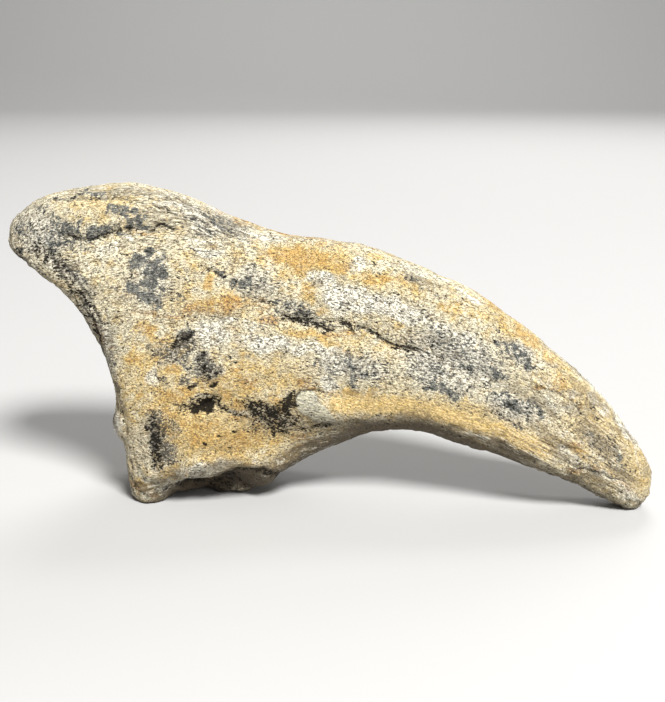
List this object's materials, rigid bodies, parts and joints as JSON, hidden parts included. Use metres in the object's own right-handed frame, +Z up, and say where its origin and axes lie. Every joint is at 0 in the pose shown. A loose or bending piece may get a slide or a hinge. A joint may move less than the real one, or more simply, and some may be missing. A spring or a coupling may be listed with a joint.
{
  "type": "fossil claw bone",
  "caption": "Curved, side-flattened fossil claw bone with an overhanging lip above its hollow joint surface, standing on its heel and its blunt tip.",
  "frame": {"origin": "bottom centre of the claw's box, on the surface that it stands on", "axes": "+X along the length from the joint end to the tip, +Y from the near face to the far face, +Z up"},
  "size_m": [0.2182, 0.056, 0.1088],
  "materials": {
    "fossil_bone": "matte, porous, cream and ochre mineralised bone with blue-black mineral stains"
  },
  "bodies": {
    "root": {"claw": "fossil_bone"}
  },
  "joints": []
}
